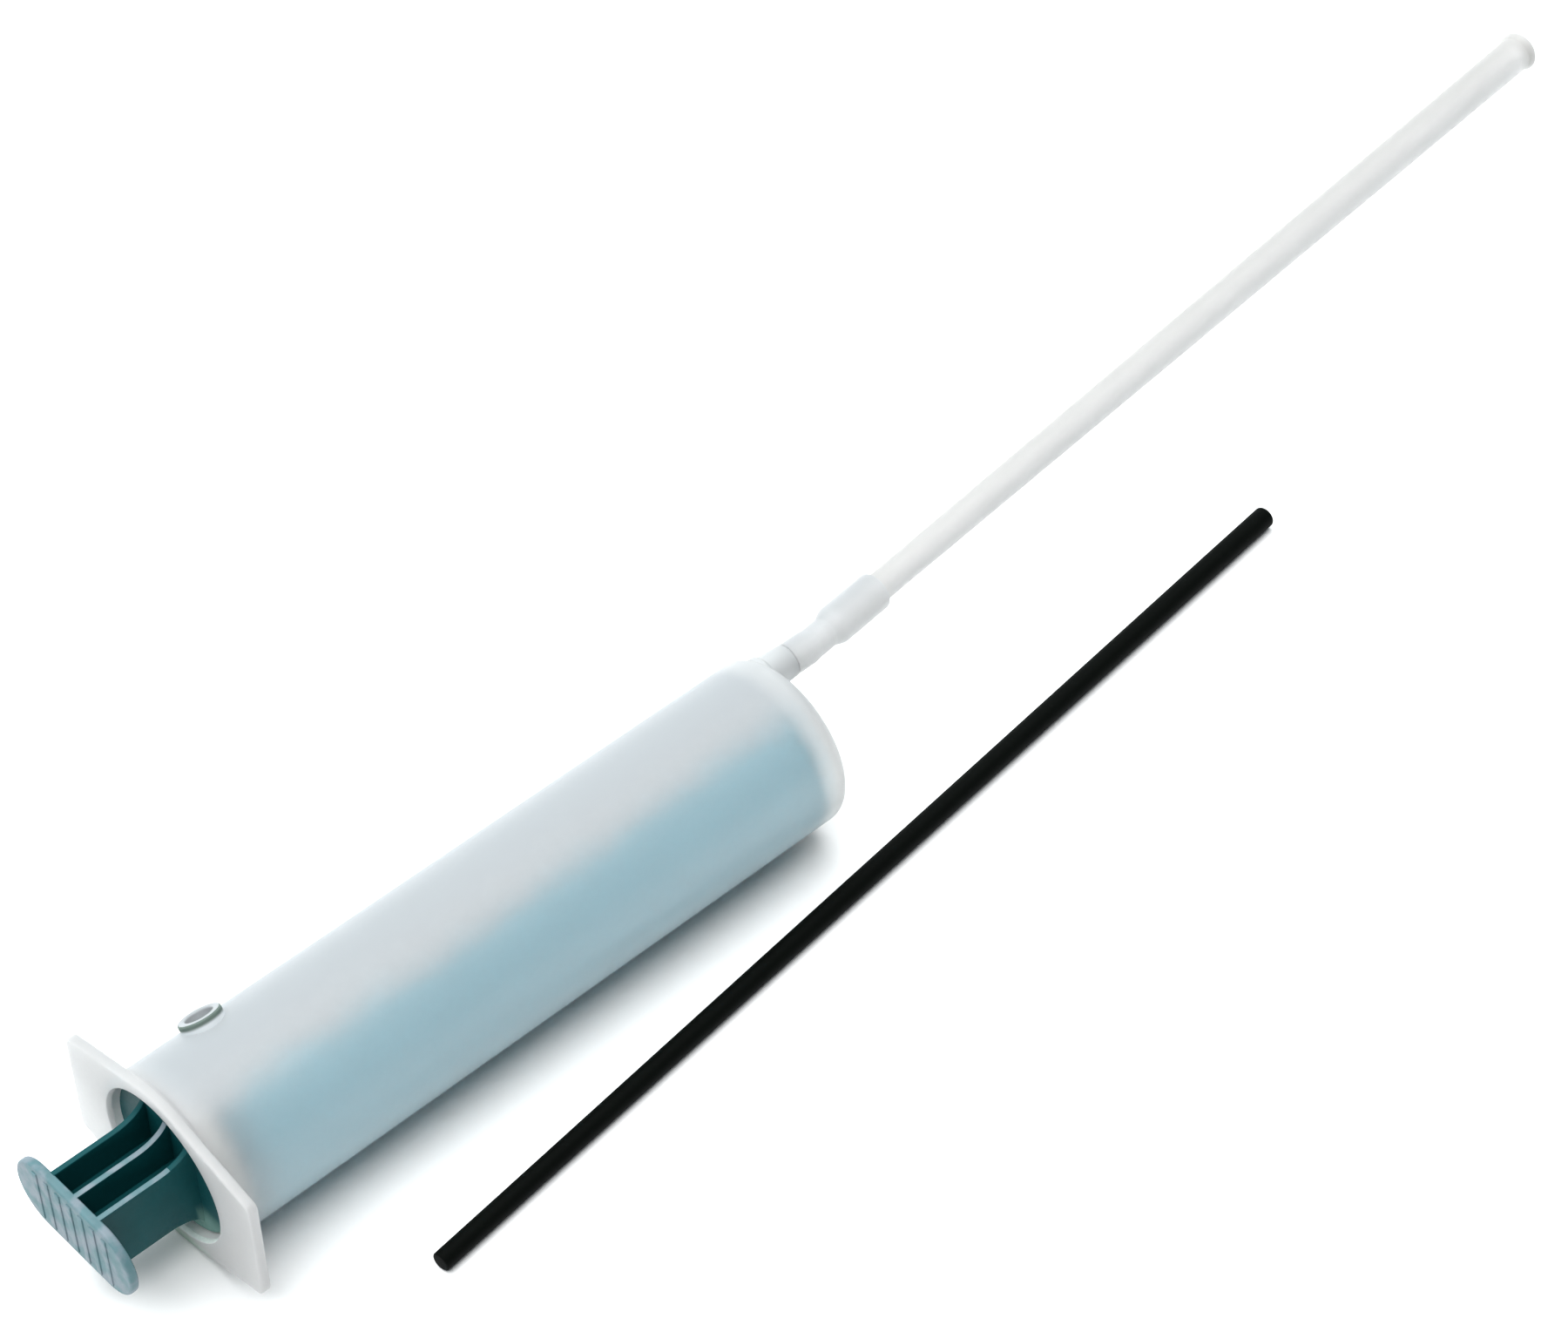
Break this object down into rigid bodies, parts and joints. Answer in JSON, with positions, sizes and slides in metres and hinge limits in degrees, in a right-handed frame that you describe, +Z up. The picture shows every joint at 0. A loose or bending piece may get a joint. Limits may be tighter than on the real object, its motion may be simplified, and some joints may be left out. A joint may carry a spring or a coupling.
{
  "type": "resin dispensing syringe",
  "caption": "Syringe for mixed epoxy resin: frosted barrel with finger flange, vent and off-centre nozzle, ribbed plunger, soft coupling, long tube and loose rod.",
  "frame": {"origin": "middle of the whole set's box, on the table that it lies on", "axes": "+X along the barrel from the thumb pad to the nozzle, +Y to the left of that, +Z up"},
  "size_m": [0.3534, 0.0654, 0.0316],
  "materials": {
    "barrel_plastic": "frosted translucent polypropylene",
    "seal_rubber": "soft blue-grey rubber",
    "plunger_plastic": "moulded blue-grey plastic, satin",
    "coupling_soft": "soft translucent vinyl",
    "tube_plastic": "milky translucent plastic",
    "rod_plastic": "black plastic, satin"
  },
  "bodies": {
    "barrel": {"barrel": "barrel_plastic"},
    "piston": {"piston_seal": "seal_rubber"},
    "plunger": {"plunger_rod": "plunger_plastic"},
    "coupling": {"coupling_sleeve": "coupling_soft"},
    "tube": {"extension_tube": "tube_plastic"},
    "rod": {"push_rod": "rod_plastic"}
  },
  "joints": [
    {"name": "piston_slide", "type": "slide", "parent": "barrel", "child": "piston", "axis": [-1, 0, 0], "range_m": [-0.0018, 0.095]},
    {"name": "plunger_spin", "type": "hinge", "parent": "piston", "child": "plunger", "pos_m": [-0.09691, 0.00209, 0.0158], "axis": [1, 0, 0], "continuous": true},
    {"name": "coupling_pull", "type": "slide", "parent": "barrel", "child": "coupling", "axis": [1, 0, 0], "range_m": [0, 0.012]},
    {"name": "tube_pull", "type": "slide", "parent": "coupling", "child": "tube", "axis": [0.9943, 0.1063, 0], "range_m": [0, 0.015]},
    {"name": "rod_lift", "type": "slide", "parent": "barrel", "child": "rod", "axis": [0, 0, 1], "range_m": [0, 0.06]}
  ]
}
